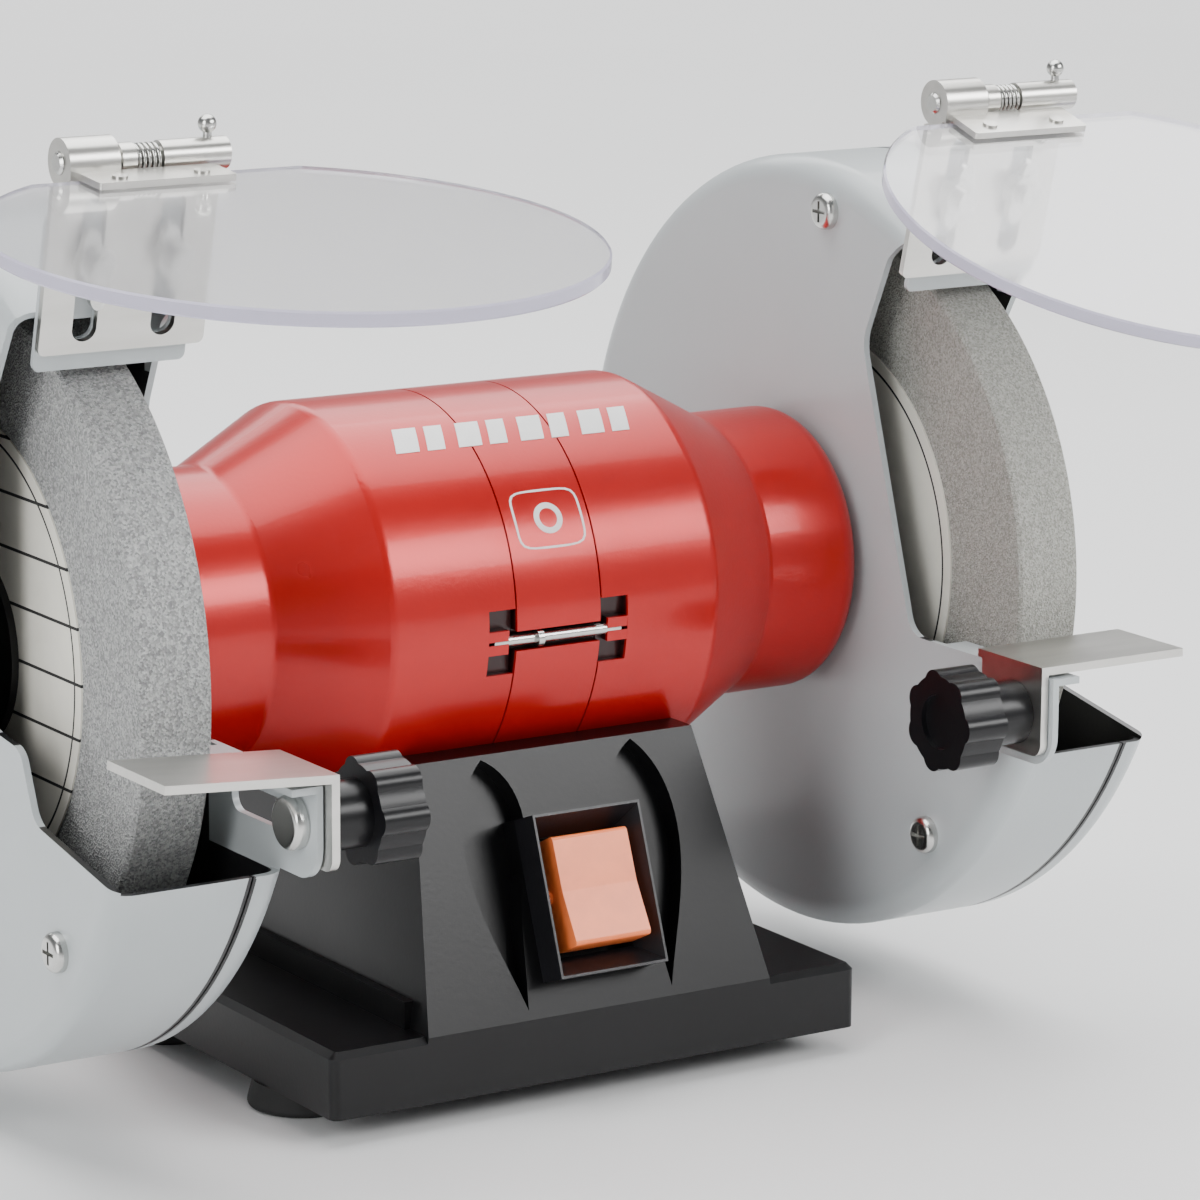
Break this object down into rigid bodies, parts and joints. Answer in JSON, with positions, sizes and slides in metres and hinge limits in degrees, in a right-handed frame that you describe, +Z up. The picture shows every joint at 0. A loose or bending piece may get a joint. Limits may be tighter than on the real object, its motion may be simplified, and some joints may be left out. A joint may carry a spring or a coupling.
{
  "type": "bench grinder",
  "caption": "Bench grinder with a grinding wheel in a guard at each end of the motor, eye shields, tool rests and a rocker switch in the pedestal.",
  "frame": {"origin": "on the surface under the rubber feet, at the centre of the four bench bolts", "axes": "+X along the spindle towards the right-hand wheel, -Y towards the operator, +Z up"},
  "size_m": [0.331, 0.2628, 0.2176],
  "materials": {
    "motor_paint": "gloss",
    "guard_paint": "gloss",
    "base_paint": "gloss",
    "plate_steel": "matte",
    "rubber": "matte",
    "zinc_plate": "satin",
    "fastener_zinc": "satin",
    "fastener_dark": "satin",
    "knob_plastic": "satin",
    "switch_plastic": "satin",
    "switch_body_plastic": "matte",
    "rocker_lens": "gloss",
    "shield_clear": "clear",
    "wheel_grey": "rough",
    "wheel_green": "rough",
    "blotter_paper": "matte",
    "flange_black": "satin",
    "machined_steel": "satin",
    "bearing_steel": "polished",
    "core_steel": "matte",
    "copper_winding": "varnished",
    "capacitor_shell": "matte",
    "terminal_plastic": "matte",
    "gland_plastic": "matte"
  },
  "bodies": {
    "frame": {"base_housing": "base_paint", "bottom_plate": "plate_steel", "rubber_feet": "rubber", "captive_nuts": "fastener_zinc", "plate_screws": "fastener_zinc", "cable_gland": "gland_plastic", "start_capacitor": "capacitor_shell", "terminal_block": "terminal_plastic", "switch_frame": "switch_plastic", "switch_body": "switch_body_plastic", "motor_bell_left": "motor_paint", "motor_bell_right": "motor_paint", "stator_band": "motor_paint", "stator_core": "core_steel", "stator_windings": "copper_winding", "motor_tie_screws": "fastener_zinc", "motor_base_screws": "fastener_dark", "bearing_outer_left": "bearing_steel", "bearing_outer_right": "bearing_steel", "inner_guard_left": "guard_paint", "inner_guard_right": "guard_paint", "outer_cover_left": "guard_paint", "outer_cover_right": "guard_paint", "guard_screws": "fastener_zinc", "cover_screws": "fastener_zinc", "bracket_bolts": "fastener_zinc", "wing_nuts": "fastener_zinc"},
    "rotor": {"spindle": "machined_steel", "rotor_core": "core_steel", "bearing_inner_left": "bearing_steel", "bearing_inner_right": "bearing_steel", "bearing_balls_left": "bearing_steel", "bearing_balls_right": "bearing_steel", "inner_flange_left": "flange_black", "inner_flange_right": "flange_black", "outer_flange_left": "flange_black", "outer_flange_right": "flange_black", "wheel_left": "wheel_grey", "wheel_right": "wheel_green", "blotters_left": "blotter_paper", "blotters_right": "blotter_paper", "spindle_nut_left": "machined_steel", "spindle_nut_right": "machined_steel"},
    "rocker": {"rocker": "rocker_lens"},
    "deflector_left": {"deflector_left": "guard_paint"},
    "bracket_left": {"shield_bracket_left": "zinc_plate", "hinge_rod_left": "fastener_zinc"},
    "shield_left": {"eye_shield_left": "shield_clear", "shield_clamp_left": "zinc_plate"},
    "rest_left": {"tool_rest_left": "zinc_plate", "rest_bolt_left": "fastener_zinc"},
    "knob_left": {"rest_knob_left": "knob_plastic"},
    "deflector_right": {"deflector_right": "guard_paint"},
    "bracket_right": {"shield_bracket_right": "zinc_plate", "hinge_rod_right": "fastener_zinc"},
    "shield_right": {"eye_shield_right": "shield_clear", "shield_clamp_right": "zinc_plate"},
    "rest_right": {"tool_rest_right": "zinc_plate", "rest_bolt_right": "fastener_zinc"},
    "knob_right": {"rest_knob_right": "knob_plastic"}
  },
  "joints": [
    {"name": "spindle_spin", "type": "hinge", "parent": "frame", "child": "rotor", "pos_m": [0, 0, 0.1023], "axis": [1, 0, 0], "continuous": true},
    {"name": "switch_rock", "type": "hinge", "parent": "frame", "child": "rocker", "pos_m": [0, -0.05587, 0.04476], "axis": [1, 0, 0], "range_deg": [0, 12]},
    {"name": "deflector_slide_left", "type": "slide", "parent": "frame", "child": "deflector_left", "axis": [0, -0.2419, 0.9703], "range_m": [-0.0004, 0.008]},
    {"name": "bracket_slide_left", "type": "slide", "parent": "frame", "child": "bracket_left", "axis": [0, -0.2419, 0.9703], "range_m": [-0.004, 0.008]},
    {"name": "shield_tilt_left", "type": "hinge", "parent": "bracket_left", "child": "shield_left", "pos_m": [-0.1055, -0.057, 0.2098], "axis": [-1, 0, 0], "range_deg": [0, 70]},
    {"name": "rest_slide_left", "type": "slide", "parent": "frame", "child": "rest_left", "axis": [0, -1, 0], "range_m": [-0.0042, 0.0006]},
    {"name": "knob_turn_left", "type": "hinge", "parent": "rest_left", "child": "knob_left", "pos_m": [-0.0777, -0.093, 0.0809], "axis": [1, 0, 0], "continuous": true},
    {"name": "deflector_slide_right", "type": "slide", "parent": "frame", "child": "deflector_right", "axis": [0, -0.2419, 0.9703], "range_m": [-0.0004, 0.008]},
    {"name": "bracket_slide_right", "type": "slide", "parent": "frame", "child": "bracket_right", "axis": [0, -0.2419, 0.9703], "range_m": [-0.004, 0.008]},
    {"name": "shield_tilt_right", "type": "hinge", "parent": "bracket_right", "child": "shield_right", "pos_m": [0.1055, -0.057, 0.2098], "axis": [-1, 0, 0], "range_deg": [0, 70]},
    {"name": "rest_slide_right", "type": "slide", "parent": "frame", "child": "rest_right", "axis": [0, -1, 0], "range_m": [-0.0012, 0.0035]},
    {"name": "knob_turn_right", "type": "hinge", "parent": "rest_right", "child": "knob_right", "pos_m": [0.0777, -0.09, 0.0809], "axis": [1, 0, 0], "continuous": true}
  ]
}
